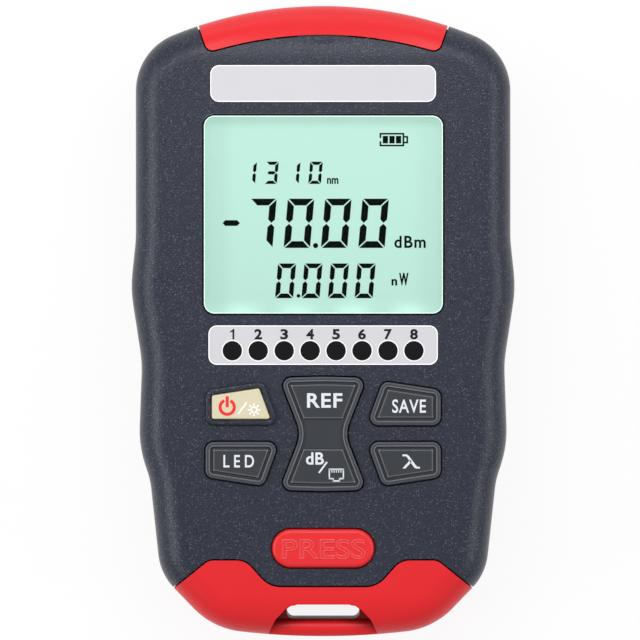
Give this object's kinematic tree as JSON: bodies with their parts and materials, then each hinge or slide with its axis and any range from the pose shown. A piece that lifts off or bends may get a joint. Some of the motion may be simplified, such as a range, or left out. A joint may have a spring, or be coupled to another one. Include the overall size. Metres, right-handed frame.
{
  "type": "handheld optical power meter",
  "caption": "Handheld optical power meter: grey waisted housing, lit display, keypad, hinged port cover and a pull-out network test remote as its red tail.",
  "frame": {"origin": "centre of the footprint, on the surface that the meter's back lies on", "axes": "+Y towards the port end, +Z out of the display, +X to the right of the display"},
  "size_m": [0.074, 0.1218, 0.0318],
  "materials": {
    "shell": "fine grained moulding",
    "red": "satin moulding",
    "window": "clear lens",
    "lcd": "display cell, lit pale green",
    "diffuser": "white moulding",
    "plate": "satin silver plate",
    "smoked": "dark smoked light guide",
    "led_lens": "clear diode",
    "cream_key": "cream key",
    "grey_key": "soft grey key",
    "rubber": "silicone mat",
    "board": "green solder mask",
    "chip": "black epoxy packages",
    "black": "black moulding",
    "gold": "plated contacts",
    "nickel": "nickel plate",
    "steel": "plain steel",
    "cell_jacket": "plain jacket"
  },
  "bodies": {
    "housing": {"backlight_panel": "diffuser", "battery_cell_1": "cell_jacket", "battery_cell_2": "cell_jacket", "battery_cell_3": "cell_jacket", "battery_contacts": "steel", "battery_springs": "steel", "board_chips": "chip", "board_screws": "steel", "buzzer": "chip", "case_screws": "steel", "detector": "steel", "display_frame": "diffuser", "display_window": "window", "dust_cover_pin": "steel", "end_plate": "black", "fibre_port_nut": "nickel", "fibre_port_sleeve": "nickel", "front_shell": "shell", "indicator_led_1": "led_lens", "indicator_led_2": "led_lens", "indicator_led_3": "led_lens", "indicator_led_4": "led_lens", "indicator_led_5": "led_lens", "indicator_led_6": "led_lens", "indicator_led_7": "led_lens", "indicator_led_8": "led_lens", "indicator_light_guide": "smoked", "indicator_plate": "plate", "keypad_mat": "rubber", "lcd_glass": "lcd", "main_board": "board", "name_plate": "plate", "network_jack": "black", "network_jack_contacts": "gold", "press_spring_left": "steel", "press_spring_right": "steel", "rear_shell": "shell", "torch_bezel": "nickel", "torch_led": "led_lens"},
    "dust_cover": {"dust_cover": "red"},
    "battery_door": {"battery_door": "shell"},
    "power_key": {"power_key": "cream_key"},
    "save_key": {"save_key": "grey_key"},
    "lamp_key": {"lamp_key": "grey_key"},
    "wavelength_key": {"wavelength_key": "grey_key"},
    "rocker_key": {"rocker_key": "grey_key"},
    "press_button": {"press_button": "red"},
    "tail": {"tail_front_shell": "red", "tail_rear_shell": "red", "tail_jack": "black", "tail_jack_contacts": "gold", "tail_board": "board", "tail_screws": "steel"}
  },
  "joints": [
    {"name": "dust_cover_hinge", "type": "hinge", "parent": "housing", "child": "dust_cover", "pos_m": [0, 0.0584, 0.0034], "axis": [-1, 0, 0], "range_deg": [0, 90]},
    {"name": "battery_door_hinge", "type": "hinge", "parent": "housing", "child": "battery_door", "pos_m": [0, 0.021, 0.0002], "axis": [1, 0, 0], "range_deg": [0, 75]},
    {"name": "power_key_press", "type": "slide", "parent": "housing", "child": "power_key", "axis": [0, 0, -1], "range_m": [0, 0.001], "stiffness_N_per_m": 1200, "deforming": ["keypad_mat"]},
    {"name": "save_key_press", "type": "slide", "parent": "housing", "child": "save_key", "axis": [0, 0, -1], "range_m": [0, 0.001], "stiffness_N_per_m": 1200, "deforming": ["keypad_mat"]},
    {"name": "lamp_key_press", "type": "slide", "parent": "housing", "child": "lamp_key", "axis": [0, 0, -1], "range_m": [0, 0.001], "stiffness_N_per_m": 1200, "deforming": ["keypad_mat"]},
    {"name": "wavelength_key_press", "type": "slide", "parent": "housing", "child": "wavelength_key", "axis": [0, 0, -1], "range_m": [0, 0.001], "stiffness_N_per_m": 1200, "deforming": ["keypad_mat"]},
    {"name": "rocker_tilt", "type": "hinge", "parent": "housing", "child": "rocker_key", "pos_m": [0, -0.02175, 0.028], "axis": [1, 0, 0], "range_deg": [-2.5, 2.5], "stiffness_Nm_per_rad": 0.2},
    {"name": "press_button_press", "type": "slide", "parent": "housing", "child": "press_button", "axis": [0, 0, -1], "range_m": [0, 0.0015], "stiffness_N_per_m": 800, "deforming": ["press_spring_left", "press_spring_right"]},
    {"name": "tail_slide", "type": "slide", "parent": "housing", "child": "tail", "axis": [0, -1, 0], "range_m": [0, 0.035]}
  ]
}
